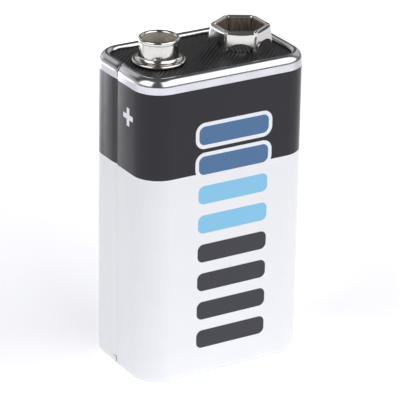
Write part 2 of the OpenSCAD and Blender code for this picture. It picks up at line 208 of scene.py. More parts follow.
class StageSettings(bpy.types.PropertyGroup):
    """Camera, floor and light"""

    azimuth: angle("Azimuth", "Turn of the camera round the battery", -30.938)
    elevation: angle("Elevation", "Height of the camera as an angle", 23.261)
    roll: angle("Roll", "Turn of the camera about its own line of sight", 0.953)
    distance: length("Distance", "Distance from the camera to its target", 382.816)
    target: FloatVectorProperty(
        name="Target", description="Point that the camera looks at",
        default=(0.265 * MM, 0, 22.661 * MM), subtype="TRANSLATION")
    lens: FloatProperty(name="Lens", description="Focal length in millimetres", default=246.55)
    left_box: angles("Left softbox", "Both sides of the left softbox, from the camera", -84, -28)
    right_box: angles("Right softbox", "Both sides of the right softbox, from the camera", 18, 107)
    box_heights: angles("Softbox heights", "Lower and upper edge of both softboxes", 9, 62)
    box_level: FloatProperty(
        name="Softbox level", description="Brightness of the right softbox", default=1.8)
    left_share: FloatProperty(
        name="Left share", description="Brightness of the left softbox against the right one", default=0.86)
    room_level: FloatProperty(name="Room level", description="Brightness of the dark room", default=0.09)
    low_sides: angles("Low light", "Both sides of the faint light low down to the left", -150, -84)
    low_heights: angles("Low light heights", "Lower and upper edge of the low light", -15, 12)
    low_level: FloatProperty(name="Low light level", description="Brightness of the low light", default=0.5)
    behind_sides: angles("Light behind", "Both sides of the faint lights behind, from the camera", 125, 168)
    behind_heights: angles("Light behind heights", "Lower and upper edge of the lights behind", 5, 40)
    behind_level: FloatProperty(
        name="Light behind level", description="Brightness of the lights behind", default=0.45)
    blur: angle("Blur", "Half the width of the soft edges of the lights", 5)
    floor_reach: length("Floor reach", "Distance from the middle of the floor to its sides", 340)
    floor_glow: FloatProperty(
        name="Floor glow", description="Light that the floor adds of its own", default=0.5)
    glow_colour: colour("Glow colour", "Colour of the light that the floor adds", 247, 247, 255)
    dim_glow: FloatProperty(name="Dim glow", description="Glow of the floor's dimmer sides", default=0.25)
    dim_across: lengths("Dim across", "Where the floor dims to both sides, as the camera sees it", 40, 90)
    dim_back: lengths("Dim back", "Where the floor dims away from the camera", -20, 30)
    back_glow: FloatProperty(name="Back glow", description="Glow added behind, to the left", default=1.5)
    back_across: lengths("Back across", "Where the glow behind starts and is full, to the left", 0, -30)
    back_depth: lengths("Back depth", "Where the glow behind starts and is full, going back", 60, 110)
    floor_colour: colour("Floor", "Plain pale floor", 247, 247, 248)


class Section:
    """A line in an upright plane along X, drawn point by point, which is then spun or carried along"""

    def __init__(self, x, z, y=0):
        self.bm = bmesh.new()
        self.y = y
        self.start = self.bm.verts.new((x, y, z))
        self.tip = self.start

    def line(self, x, z):
        made = bmesh.ops.extrude_vert_indiv(self.bm, verts=[self.tip])
        self.tip = made["verts"][0]
        self.tip.co = (x, self.y, z)
        return self

    def arc(self, x, z, degrees, steps=12):
        """Goes round the centre (x, z), anticlockwise where degrees are positive."""
        made = bmesh.ops.spin(
            self.bm, geom=[self.tip], cent=(x, self.y, z), axis=(0, -1, 0),
            angle=math.radians(degrees), steps=steps)
        self.tip = next(v for v in made["geom_last"] if isinstance(v, bmesh.types.BMVert))
        return self

    def close(self):
        self.bm.edges.new((self.tip, self.start))
        return self

    def spun(self, x, y, steps=96):
        """The closed line turned once about an upright axis."""
        bmesh.ops.spin(
            self.bm, geom=self.bm.verts[:] + self.bm.edges[:], cent=(x, y, 0), axis=(0, 0, 1),
            angle=2 * math.pi, steps=steps, use_merge=True)
        bmesh.ops.remove_doubles(self.bm, verts=self.bm.verts[:], dist=0.002 * MM)
        bmesh.ops.recalc_face_normals(self.bm, faces=self.bm.faces[:])
        return self.bm


def edges_between(verts):
    """The edges that have both ends among these vertices."""
    chosen = set(verts)
    return [e for v in chosen for e in v.link_edges if e.verts[0] is v and e.other_vert(v) in chosen]


def carried(bm, edges, move):
    """Extrudes edges by one straight move and returns the edges at the far end."""
    made = bmesh.ops.extrude_edge_only(bm, edges=edges)["geom"]
    verts = [v for v in made if isinstance(v, bmesh.types.BMVert)]
    bmesh.ops.translate(bm, vec=move, verts=verts)
    return edges_between(verts)


def turned(bm, edges, centre, steps=20):
    """Spins edges by a quarter turn about an upright line and returns the edges at the far end."""
    ends = list({v for e in edges for v in e.verts})
    made = bmesh.ops.spin(
        bm, geom=ends + edges, cent=centre, axis=(0, 0, 1), angle=math.pi / 2, steps=steps)["geom_last"]
    return edges_between([v for v in made if isinstance(v, bmesh.types.BMVert)])


def outwards(bm, middle):
    """Makes the faces of an open sheet agree, and point away from a middle point."""
    bmesh.ops.recalc_face_normals(bm, faces=bm.faces[:])
    largest = max(bm.faces, key=lambda f: f.calc_area())
    if largest.normal.dot(largest.calc_center_median() - Vector(middle)) < 0:
        bmesh.ops.reverse_faces(bm, faces=bm.faces[:])


def piece_from(bm, name, node, materials, sharp_degrees=35):
    """Makes a bmesh the piece that stands for a CAD node."""
    mesh = bpy.data.meshes.new(name)
    bm.to_mesh(mesh)
    bm.free()
    for material in materials:
        mesh.materials.append(material)
    mesh.shade_smooth()
    mesh.set_sharp_from_angle(angle=math.radians(sharp_degrees))
    piece = bpy.data.objects.new(name, mesh)
    bpy.context.scene.collection.objects.link(piece)
    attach(piece, BODY)
    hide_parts(node)
    return piece


def walled(piece, thickness, materials_on=0):
    """Gives an open sheet its thickness, inwards."""
    wall = piece.modifiers.new("wall", "SOLIDIFY")
    wall.thickness = thickness
    wall.offset = -1
    wall.use_even_offset = True
    wall.material_offset = materials_on
    wall.material_offset_rim = materials_on


def edged(piece, width, degrees=50):
    """Rounds the sharp edges of a piece."""
    rounding = piece.modifiers.new("edges", "BEVEL")
    rounding.width = width
    rounding.segments = 2
    rounding.limit_method = "ANGLE"
    rounding.angle_limit = math.radians(degrees)
    rounding.harden_normals = False


class Finish:
    """A material that is being made: its shader, and the nodes that feed it"""

    def __init__(self, name, **sockets):
        self.material = bpy.data.materials.new(name)
        self.material.use_nodes = True
        self.tree = self.material.node_tree
        self.shader = self.tree.nodes["Principled BSDF"]
        for socket, value in sockets.items():
            self.shader.inputs[socket.replace("_", " ")].default_value = value

    def node(self, kind, **settings):
        made = self.tree.nodes.new("ShaderNode" + kind)
        for setting, value in settings.items():
            setattr(made, setting, value)
        return made

    def feed(self, value, socket):
        """Sets a socket to a number or a colour, or links another node's output to it."""
        if isinstance(value, bpy.types.NodeSocket):
            self.tree.links.new(value, socket)
        else:
            socket.default_value = value

    def shade(self, socket, value):
        self.feed(value, self.shader.inputs[socket])

    def sum(self, operation, *values):
        """One step of arithmetic."""
        made = self.node("Math", operation=operation)
        for value, socket in zip(values, made.inputs):
            self.feed(value, socket)
        return made.outputs[0]

    def place(self, scale=(1000, 1000, 1000), turn=(0, 0, 0)):
        """Object coordinates in millimetres, or stretched by another scale."""
        mapping = self.node("Mapping")
        mapping.inputs["Scale"].default_value = scale
        mapping.inputs["Rotation"].default_value = turn
        self.feed(self.node("TexCoord").outputs["Object"], mapping.inputs["Vector"])
        return mapping.outputs[0]

    def axes(self, place):
        split = self.node("SeparateXYZ")
        self.feed(place, split.inputs[0])
        return split.outputs[0], split.outputs[1], split.outputs[2]

    def noise(self, place, scale, detail=3.0, roughness=0.5):
        made = self.node("TexNoise")
        self.feed(place, made.inputs["Vector"])
        made.inputs["Scale"].default_value = scale
        made.inputs["Detail"].default_value = detail
        made.inputs["Roughness"].default_value = roughness
        return made.outputs[0]

    def spread(self, value, low, high, to_low=0.0, to_high=1.0):
        """Takes a value between low and high to another range."""
        made = self.node("MapRange")
        for given, socket in zip((value, low, high, to_low, to_high), made.inputs):
            self.feed(given, socket)
        return made.outputs[0]

    def mix(self, share, first, second):
        """A colour between two others."""
        made = self.node("Mix", data_type="RGBA")
        self.feed(share, made.inputs["Factor"])
        for given, socket in ((first, made.inputs[6]), (second, made.inputs[7])):
            self.feed(given if isinstance(given, bpy.types.NodeSocket) else (*given, 1), socket)
        return made.outputs[2]

    def bump(self, height, strength, distance_mm, under=None):
        made = self.node("Bump")
        made.inputs["Strength"].default_value = strength
        made.inputs["Distance"].default_value = distance_mm * MM
        self.feed(height, made.inputs["Height"])
        if under is not None:
            self.feed(under, made.inputs["Normal"])
        return made.outputs[0]

    def dusty(self, base, place, scale, rarity, speck, share, dust_colour):
        """Scatters specks of dust over a colour; the rarity is the share of places without one."""
        cells = self.node("TexVoronoi")
        self.feed(place, cells.inputs["Vector"])
        cells.inputs["Scale"].default_value = scale
        rare = self.sum("GREATER_THAN", self.axes(cells.outputs["Color"])[0], rarity)
        specks = self.sum("MULTIPLY", rare, self.spread(cells.outputs["Distance"], speck, 0.05))
        return self.mix(self.sum("MULTIPLY", specks, share), base, dust_colour)

    def inside(self, distance, blur=0.02):
        """1 where a distance in millimetres is below zero, with a soft edge."""
        return self.spread(distance, blur, -blur)

    def box_distance(self, across, up, half_across, half_up, radius=0.0):
        """Distance to a rectangle with round corners about the origin, in millimetres."""
        out_across = self.sum("SUBTRACT", self.sum("ABSOLUTE", across), half_across - radius)
        out_up = self.sum("SUBTRACT", self.sum("ABSOLUTE", up), half_up - radius)
        corner = self.sum(
            "SQRT", self.sum(
                "ADD",
                self.sum("POWER", self.sum("MAXIMUM", out_across, 0.0), 2.0),
                self.sum("POWER", self.sum("MAXIMUM", out_up, 0.0), 2.0)))
        edge = self.sum("MINIMUM", self.sum("MAXIMUM", out_across, out_up), 0.0)
        return self.sum("SUBTRACT", self.sum("ADD", corner, edge), radius)


def steel_finish(colour_value):
    """Bare tinned steel: bright, with faint lines of rolling and cloudy patches."""
    f = Finish("tinned_steel", Metallic=1.0)
    place = f.place()
    lines = f.noise(f.place(scale=(600, 600, 14000)), 1.0, 4.0)
    clouds = f.noise(place, 0.35)
    f.shade("Base Color", f.mix(f.spread(clouds, 0.35, 0.7), colour_value, darker(colour_value, 0.93)))
    f.shade("Roughness", f.spread(clouds, 0.3, 0.7, 0.13, 0.22))
    f.shade("Normal", f.bump(lines, 0.25, 0.004))
    return f.material


def bar_marks(f, x, y, z, marks):
    """Distance to the nearest bar on a broad face, in millimetres, and the colour of that bar."""
    facing = f.sum("SIGN", f.sum("MULTIPLY", y, -1.0))
    across = f.sum("SUBTRACT", f.sum("MULTIPLY", x, facing), marks.bar_x / MM)
    step = f.sum("DIVIDE", f.sum("SUBTRACT", z, marks.bar_z / MM), marks.bar_pitch / MM)
    top_step = marks.bar_count - 1
    index = f.sum("MAXIMUM", f.sum("MINIMUM", f.sum("ROUND", step), float(top_step)), 0.0)
    up = f.sum("MULTIPLY", f.sum("SUBTRACT", step, index), marks.bar_pitch / MM)
    distance = f.box_distance(
        across, up, marks.bar_width / 2 / MM, marks.bar_height / 2 / MM, marks.bar_radius / MM)
    in_upper_half = f.sum("GREATER_THAN", index, top_step * 0.5)
    in_top_two = f.sum("GREATER_THAN", index, top_step - 1.5)
    below_top = f.mix(in_upper_half, marks.low_colour, marks.middle_colour)
    return distance, f.mix(in_top_two, below_top, marks.high_colour)


def sign_marks(f, x, y, z, marks):
    """Distance to the plus sign on the seam's side and the minus sign on the other, in millimetres."""
    side_from = 8.0
    far_away = 100.0
    facing = f.sum("SIGN", f.sum("MULTIPLY", x, -1.0))
    across = f.sum("ADD", f.sum("MULTIPLY", y, facing), marks.sign_y / MM)
    up = f.sum("SUBTRACT", z, marks.sign_z / MM)
    long_half = marks.sign_length / 2 / MM
    short_half = marks.sign_stroke / 2 / MM
    flat = f.box_distance(across, up, long_half, short_half)
    upright = f.box_distance(across, up, short_half, long_half)
    upright = f.sum("ADD", upright, f.spread(x, -1.0, 1.0, 0.0, far_away))
    off_side = f.sum("SUBTRACT", side_from, f.sum("ABSOLUTE", x))
    return f.sum("MAXIMUM", f.sum("MINIMUM", flat, upright), off_side)


def side_bow(f, y, case):
    """Height of the narrow sides, in millimetres, which turn back a little from the seam's step on."""
    start = (case.seam_gap + case.joggle_width + case.sheet) / MM
    end = (CASE_HIGH.y - case.corner_radius) / MM
    slope = math.tan(case.bow_turn)
    bend = f.sum("POWER", f.spread(y, start, end, 0.0, end - start), 2.0)
    beyond = f.spread(y, end, CASE_HIGH.y / MM, 0.0, case.corner_radius / MM)
    bend = f.sum("MULTIPLY", bend, -slope / 2 / (end - start))
    return f.sum("ADD", bend, f.sum("MULTIPLY", beyond, -slope))


def print_finish(name, ground, case, marks, is_dark):
    """Gloss print on steel, with bars on the broad faces, a sign on each narrow side, and painted shade
    along the foot.
    """
    # Painted shade along the foot: the share of the print's colour left at the bottom edge, and the heights
    # in millimetres over which it darkens.
    painted_foot_shade = 0.78
    painted_shade_from, painted_shade_to = 0.6, 0.1
    f = Finish(name, IOR=1.46)
    place = f.place()
    x, y, z = f.axes(place)
    clouds = f.noise(place, 0.25, 2.0)
    base = f.mix(f.spread(clouds, 0.3, 0.7), ground, darker(ground, 0.985))
    # Painted shade: the print darkens over its lowest 0.6 mm, down to 0.78 of its colour at the foot's bend.
    base = f.mix(f.spread(z, painted_shade_from, painted_shade_to), base, darker(ground, painted_foot_shade))
    bars, ink = bar_marks(f, x, y, z, marks)
    if is_dark:
        outlines = f.sum("SUBTRACT", bars, marks.bar_outline / MM)
        base = f.mix(f.inside(outlines), base, marks.mark_colour)
        base = f.mix(f.inside(sign_marks(f, x, y, z, marks)), base, marks.mark_colour)
    base = f.mix(f.inside(bars), base, ink)
    surface = f.bump(f.noise(place, 1.5, 2.0), 0.06, 0.01)
    if is_dark:
        base = f.dusty(base, place, 0.9, 0.93, 0.1, 0.35, linear(150, 150, 158))
        surface = f.bump(side_bow(f, y, case), 1.0, 1.0, surface)
    f.shade("Base Color", base)
    f.shade("Roughness", f.spread(f.noise(place, 0.5, 1.0), 0.3, 0.7, 0.22, 0.27))
    f.shade("Normal", surface)
    return f.material


def nickel_finish(name, colour_value):
    """Bright nickel plating, faintly cloudy."""
    f = Finish(name, Metallic=1.0)
    place = f.place()
    clouds = f.noise(place, 1.4, 4.0)
    f.shade("Base Color", f.mix(f.spread(clouds, 0.35, 0.7), colour_value, darker(colour_value, 0.94)))
    f.shade("Roughness", f.spread(clouds, 0.3, 0.7, 0.05, 0.12))
    f.shade("Normal", f.bump(f.noise(place, 2.2, 3.0), 0.1, 0.02))
    return f.material


def hollow_finish(name, colour_value, tarnish, bright_z, dull_z, dulling, streak):
    """Nickel inside a terminal: bright down to one height, dull, brownish and streaked from another."""
    f = Finish(name)
    place = f.place()
    z = f.axes(place)[2]
    deep = f.spread(z, bright_z / MM, dull_z / MM)
    streaks = f.noise(f.place(scale=(2600, 2600, 500)), 1.0, 3.0)
    stain = f.mix(f.spread(streaks, 0.35, 0.65), tarnish, darker(tarnish, streak))
    f.shade("Base Color", f.mix(deep, colour_value, stain))
    f.shade("Metallic", f.spread(deep, 0.0, 1.0, 1.0, 1 - dulling))
    f.shade("Roughness", f.spread(deep, 0.0, 1.0, 0.1, 0.4))
    f.shade("Normal", f.bump(f.noise(place, 2.2, 3.0), 0.15, 0.02))
    return f.material


def plastic_finish(colour_value):
    """Black moulded plastic with a fine grain and a little dust."""
    f = Finish("black_plastic")
    place = f.place()
    grain = f.noise(place, 9.0, 4.0, 0.6)
    patches = f.noise(place, 0.5, 2.0)
    paler = [level * 1.35 for level in colour_value]
    base = f.mix(f.spread(patches, 0.35, 0.7), colour_value, paler)
    f.shade("Base Color", f.dusty(base, place, 0.7, 0.86, 0.09, 0.5, linear(150, 150, 156)))
    f.shade("Roughness", f.spread(grain, 0.3, 0.7, 0.38, 0.55))
    f.shade("Normal", f.bump(grain, 0.35, 0.02))
    return f.material


def brushed_finish(name, colour_value, scale, metallic=1.0):
    """Metal with fine drawing lines along one axis."""
    f = Finish(name, Metallic=metallic)
    lines = f.noise(f.place(scale=scale), 1.0, 4.0)
    f.shade("Base Color", f.mix(f.spread(lines, 0.35, 0.65), colour_value, darker(colour_value, 0.85)))
    f.shade("Roughness", f.spread(lines, 0.3, 0.7, 0.25, 0.4))
    f.shade("Normal", f.bump(lines, 0.3, 0.01))
    return f.material


def card_finish(colour_value, fibre_colour):
    """Grey-brown card with fibres."""
    f = Finish("card", Roughness=0.9)
    fibres = f.noise(f.place(scale=(1500, 4000, 4000)), 1.0, 5.0, 0.6)
    f.shade("Base Color", f.mix(f.spread(fibres, 0.35, 0.65), colour_value, fibre_colour))
    f.shade("Normal", f.bump(fibres, 0.5, 0.02))
    return f.material


def in_mm(values):
    return [value / MM for value in values]


def floor_finish(s):
    """Plain pale floor, faintly uneven, lit less at both sides and more behind to the left."""
    f = Finish("pale_floor", Roughness=0.8, Emission_Color=(*s.glow_colour, 1))
    uneven = f.noise(f.place(scale=(20, 20, 20)), 1.0)
    right, back = f.axes(f.place(turn=(0, 0, -s.azimuth)))[:2]
    beside = f.sum(
        "MULTIPLY", f.spread(f.sum("ABSOLUTE", right), *in_mm(s.dim_across)),
        f.spread(back, *in_mm(s.dim_back)))
    behind = f.sum(
        "MULTIPLY", f.spread(right, *in_mm(s.back_across)),
        f.spread(back, *in_mm(s.back_depth), 0.0, s.back_glow))
    glow = f.spread(beside, 0.0, 1.0, s.floor_glow, s.dim_glow)
    f.shade("Emission Strength", f.sum("ADD", glow, behind))
    f.shade("Base Color", f.mix(f.spread(uneven, 0.3, 0.7), s.floor_colour, darker(s.floor_colour, 0.99)))
    return f.material


class BATTERY_OT_case(bpy.types.Operator):
    """Folds the steel case: wall, rolled rim, bent-in foot and the lap of the seam"""

    bl_idname = "battery.case"
    bl_label = "Folded case"

    def execute(self, context):
        s = context.scene.battery_case
        marks = context.scene.battery_print
        left, front = CASE_LOW.x, CASE_LOW.y
        right, back = CASE_HIGH.x, CASE_HIGH.y
        r = s.corner_radius
        inwards = (s.shoulder_radius - s.curl_radius) * math.cos(s.shoulder_turn)
        upwards = (s.shoulder_radius - s.curl_radius) * math.sin(s.shoulder_turn)
        curl_x = left + s.shoulder_radius - inwards
        curl_z = CASE_HIGH.z - s.curl_radius
        shoulder_z = curl_z - upwards
        bare_z = CASE_HIGH.z - s.bare_band
        dark_z = bare_z - s.dark_field
        plate_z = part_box("bottom_plate")[1].z
        lap_low = plate_z + s.lap_clearance
        lap_high = BOARD_LOW.z - s.lap_clearance
        rest_height = BOARD_HIGH.z - curl_z
        shoulder_degrees = math.degrees(s.shoulder_turn)
        rest_degrees = math.degrees(math.asin(rest_height / (s.curl_radius - s.sheet)))
        curl_degrees = 180 - shoulder_degrees - rest_degrees

        section = Section(left + s.flange_width, 0)
        section.line(left + s.foot_radius, 0)
        section.arc(left + s.foot_radius, s.foot_radius, -90, 8)
        for z in (lap_low, dark_z, bare_z, lap_high, shoulder_z):
            section.line(left, z)
        section.arc(left + s.shoulder_radius, shoulder_z, -shoulder_degrees, 12)
        section.arc(curl_x, curl_z, -curl_degrees, 14)
        bm = section.bm

        straight_y = back - r
        run = bm.edges[:]
        run = carried(bm, run, (0, front + r, 0))
        run = turned(bm, run, (left + r, front + r, 0))
        run = carried(bm, run, (right - left - 2 * r, 0, 0))
        run = turned(bm, run, (right - r, front + r, 0))
        run = carried(bm, run, (0, back - front - 2 * r, 0))
        run = turned(bm, run, (right - r, back - r, 0))
        run = carried(bm, run, (left - right + 2 * r, 0, 0))
        run = turned(bm, run, (left + r, back - r, 0))
        step_y = s.seam_gap + s.joggle_width
        run = carried(bm, run, (0, step_y + s.sheet - straight_y, 0))
        run = carried(bm, run, (0, -s.sheet, 0))
        middle = [
            e for e in run
            if all(lap_low - TOLERANCE < v.co.z < lap_high + TOLERANCE for v in e.verts)
        ]
        ends = [e for e in run if e not in middle]
        carried(bm, ends, (0, s.slit_width - step_y, 0))
        tongue = carried(bm, middle, (s.sheet, -s.joggle_width, 0))
        carried(bm, tongue, (0, -s.seam_gap - s.lap_width, 0))
        outwards(bm, (0, 0, CASE_HIGH.z / 2))

        for face in bm.faces:
            height = face.calc_center_median().z
            face.material_index = 2 if height > bare_z else 1 if height > dark_z else 0
        case = piece_from(bm, "case", "jacket", [
            print_finish("white_print", s.white_colour, s, marks, False),
            print_finish("dark_print", s.dark_colour, s, marks, True),
            steel_finish(s.steel_colour),
        ])
        walled(case, s.sheet, 2)
        edged(case, s.edge_round)
        return {"FINISHED"}


class BATTERY_OT_board(bpy.types.Operator):
    """Cuts fine slanting ribs into the black top plate"""

    bl_idname = "battery.board"
    bl_label = "Ribbed top plate"

    def execute(self, context):
        s = context.scene.battery_board
        case = context.scene.battery_case
        inset = BOARD_LOW.x - CASE_LOW.x
        size = BOARD_HIGH - BOARD_LOW
        bm = bmesh.new()
        bmesh.ops.create_grid(bm, x_segments=1, y_segments=1, size=0.5)
        bmesh.ops.scale(bm, vec=(size.x, size.y, 1), verts=bm.verts[:])
        bmesh.ops.bevel(
            bm, geom=bm.verts[:], offset=case.corner_radius - inset, segments=16, profile=0.5,
            affect="VERTICES", material=-1)
        bmesh.ops.delete(bm, geom=bm.faces[:], context="FACES_ONLY")
        for low, high in ((STUD_LOW, STUD_HIGH), (SOCKET_LOW, SOCKET_HIGH)):
            middle = (low + high) / 2
            bmesh.ops.create_circle(
                bm, segments=32, radius=s.hole_radius, matrix=Matrix.Translation((middle.x, middle.y, 0)))
        bmesh.ops.triangle_fill(bm, edges=bm.edges[:], use_beauty=True)
        bmesh.ops.translate(bm, vec=(0, 0, BOARD_HIGH.z), verts=bm.verts[:])
        bmesh.ops.dissolve_limit(bm, angle_limit=0.01, verts=bm.verts[:], edges=bm.edges[:])

        top = bm.faces[:]
        grown = bmesh.ops.extrude_face_region(bm, geom=top, use_keep_orig=True)["geom"]
        low_verts = [v for v in grown if isinstance(v, bmesh.types.BMVert)]
        bmesh.ops.translate(bm, vec=(0, 0, -size.z), verts=low_verts)

        across = Vector((1, -1, 0)).normalized()
        reach = (size.x + size.y) / 2
        half_pitch = s.rib_pitch / 2
        count = int(reach / half_pitch)
        for k in range(-count, count + 1):
            top = [f for f in bm.faces if abs(f.calc_center_median().z - BOARD_HIGH.z) < TOLERANCE]
            geom = list({v for f in top for v in f.verts}) + list({e for f in top for e in f.edges}) + top
            bmesh.ops.bisect_plane(
                bm, geom=geom, dist=TOLERANCE / 100, plane_co=across * (k * half_pitch), plane_no=across)
        for v in bm.verts:
            if v.co.z > BOARD_HIGH.z - TOLERANCE:
                phase = (v.co.dot(across) / half_pitch) % 2
                v.co.z -= s.rib_depth * (1 - abs(1 - phase))
        bmesh.ops.recalc_face_normals(bm, faces=bm.faces[:])
        plastic = plastic_finish(s.plate_colour)
        piece_from(bm, "ribbed_plate", "top_board", [plastic], sharp_degrees=10)
        return {"FINISHED"}


class BATTERY_OT_stud(bpy.types.Operator):
    """Turns the round snap stud: beaded foot, sweep, straight neck and rolled lip"""

    bl_idname = "battery.stud"
    bl_label = "Snap stud"

    def execute(self, context):
        s = context.scene.battery_terminals
        axis = (STUD_LOW + STUD_HIGH) / 2
        base = STUD_LOW.z
        hole = context.scene.battery_board.hole_radius
        bead = s.bead_height / 2
        bead_x = STUD_HIGH.x - bead
        bead_top = base + s.bead_height
        groove_x = (axis.x + s.neck_foot + bead_x) / 2
        lip_roll = (s.lip_radius - s.bore_radius) / 2
        band_top = STUD_HIGH.z - lip_roll
        band_low = band_top - s.lip_band
        sweep_x = axis.x + s.neck_foot + s.sweep_radius
        under_x = axis.x + s.lip_radius - s.lip_under
        line = Section(axis.x + hole, base, axis.y)
        line.line(groove_x - s.groove_radius, base)
        line.arc(groove_x, base, -180, 10)
        line.line(bead_x, base)
        line.arc(bead_x, base + bead, 180, 24)
        line.line(sweep_x, bead_top)
        line.arc(sweep_x, bead_top + s.sweep_radius, -90, 16)
        line.line(axis.x + s.neck_radius, band_low - s.lip_under)
        line.line(under_x, band_low - s.lip_under)
        line.arc(under_x, band_low, 90, 6)
        line.line(axis.x + s.lip_radius, band_top)
        line.arc(axis.x + s.lip_radius - lip_roll, band_top, 180, 20)
        line.line(axis.x + s.bore_radius, base + s.sheet)
        line.line(axis.x + hole, base + s.sheet)
        bm = line.close().spun(axis.x, axis.y)
        for face in bm.faces:
            middle = face.calc_center_median()
            away = math.hypot(middle.x - axis.x, middle.y - axis.y)
            if away < s.bore_radius and middle.z > base + s.sheet / 2:
                face.material_index = 1
        piece_from(bm, "snap_stud", "positive_stud", [
            nickel_finish("bright_nickel", s.nickel_colour),
            hollow_finish(
                "stud_hollow", s.nickel_colour, s.stud_tarnish, bright_z=STUD_HIGH.z - 0.2 * MM,
                dull_z=STUD_HIGH.z - 0.5 * MM, dulling=0.7, streak=0.75),
        ], sharp_degrees=40)
        return {"FINISHED"}


class BATTERY_OT_socket(bpy.types.Operator):
    """Bends the hexagonal snap socket: a base plate and six leaves that roll over into skirts"""

    bl_idname = "battery.socket"
    bl_label = "Snap socket"

    def execute(self, context):
        s = context.scene.battery_terminals
        axis = (SOCKET_LOW + SOCKET_HIGH) / 2
        base = SOCKET_LOW.z
        height = SOCKET_HIGH.z - base
        face_r = (SOCKET_HIGH.x - SOCKET_LOW.x) / 2 - s.skirt_flare
        roll = s.rim_width / 2
        roll_z = height - roll
        tip_z = height - s.skirt
        arch_z = height - s.skirt_middle - s.skirt_arch
        sixth = math.tan(math.radians(30))
        half = (face_r - s.leaf_slit) * sixth
        tip = s.skirt_tip / half
        step = 0.004
        corner_fade = 3
        corner_columns = 4
        arch_columns = 20
        corner = [tip / corner_columns] * corner_columns + [step]
        arch = [(2 - 2 * tip - 2 * step) / arch_columns] * arch_columns

        leaf = Section(s.leaf_foot, 0, -1)
        leaf.line(s.leaf_foot, s.sheet)
        leaf.line(face_r - s.rim_width, roll_z)
        leaf.arc(face_r - roll, roll_z, -180, 20)
        for share in (0.2, 0.5, 0.8, 1.0):
            leaf.line(face_r + s.skirt_flare * share, roll_z + (tip_z - roll_z) * share)
        bm = leaf.bm
        run = bm.edges[:]
        for width in corner + arch + corner[::-1]:
            run = carried(bm, run, (0, width, 0))
        for v in bm.verts:
            side = abs(v.co.y)
            into_corner = max(0, (side - 1 + tip) / tip) ** 2
            v.co.y *= (min(v.co.x, face_r) - s.leaf_slit) * sixth
            if v.co.x > face_r - roll:
                drop = (height - v.co.z) / roll
                fall = roll + (s.rim_fall - roll) * (1 - side ** 2)
                if drop <= 1:
                    v.co.x -= s.rim_corner * into_corner * drop
                    v.co.z = height - drop * fall
                else:
                    share = (roll_z - v.co.z) / (roll_z - tip_z)
                    low = tip_z
                    if side < 1 - tip - step / 2:
                        low = arch_z + math.sqrt(s.skirt_arch ** 2 - v.co.y ** 2)
                    down = (height - fall - low) * share
                    v.co.x = face_r + s.skirt_flare * (down / (roll_z - tip_z)) ** s.skirt_curve
                    v.co.x -= s.rim_corner * into_corner * max(0, 1 - corner_fade * share)
                    v.co.z = height - fall - down
            if v.co.z > roll_z:
                v.co.z -= s.rim_corner * into_corner * (v.co.z - roll_z) / roll
        bmesh.ops.recalc_face_normals(bm, faces=bm.faces[:])
        inner = max(bm.faces, key=lambda f: f.calc_area() if f.calc_center_median().x < face_r - roll else 0)
        if inner.normal.x > 0:
            bmesh.ops.reverse_faces(bm, faces=bm.faces[:])
        bmesh.ops.solidify(bm, geom=bm.faces[:], thickness=s.sheet)
        bmesh.ops.recalc_face_normals(bm, faces=bm.faces[:])
        for face in bm.faces:
            if face.normal.x < 0 and face.calc_center_median().x < face_r - roll:
                face.material_index = 1

        one = bm.verts[:] + bm.edges[:] + bm.faces[:]
        for turn in range(1, 6):
            copy = bmesh.ops.duplicate(bm, geom=one)["geom"]
            bmesh.ops.rotate(
                bm, cent=(0, 0, 0), matrix=Matrix.Rotation(math.radians(60 * turn), 3, "Z"),
                verts=[v for v in copy if isinstance(v, bmesh.types.BMVert)])

        plate_r = (s.leaf_foot + s.sheet / 2) / math.cos(math.radians(30))
        hole = context.scene.battery_board.hole_radius
        upright = Matrix.Rotation(math.radians(30), 4, "Z")
        rim = bmesh.ops.create_circle(bm, segments=6, radius=plate_r, matrix=upright)["verts"]
        edges = edges_between(rim)
        hole_rim = bmesh.ops.create_circle(bm, segments=24, radius=hole)["verts"]
        edges += edges_between(hole_rim)
        floor = bmesh.ops.triangle_fill(bm, edges=edges, use_beauty=True)["geom"]
        floor_faces = [f for f in floor if isinstance(f, bmesh.types.BMFace)]
        grown = bmesh.ops.extrude_face_region(bm, geom=floor_faces, use_keep_orig=True)["geom"]
        lifted = [v for v in grown if isinstance(v, bmesh.types.BMVert)]
        bmesh.ops.translate(bm, vec=(0, 0, s.sheet), verts=lifted)
        plate_verts = set(rim) | set(hole_rim) | set(lifted)
        plate_faces = list({f for v in plate_verts for f in v.link_faces})
        bmesh.ops.recalc_face_normals(bm, faces=plate_faces)

        bmesh.ops.translate(bm, vec=(axis.x, axis.y, base), verts=bm.verts[:])
        socket = piece_from(bm, "snap_socket", "negative_socket", [
            bpy.data.materials["bright_nickel"],
            hollow_finish(
                "socket_hollow", s.nickel_colour, s.socket_tarnish, bright_z=SOCKET_HIGH.z - 0.12 * MM,
                dull_z=SOCKET_HIGH.z - 0.32 * MM, dulling=0.45, streak=0.45),
        ], sharp_degrees=40)
        edged(socket, s.edge_round)
        return {"FINISHED"}


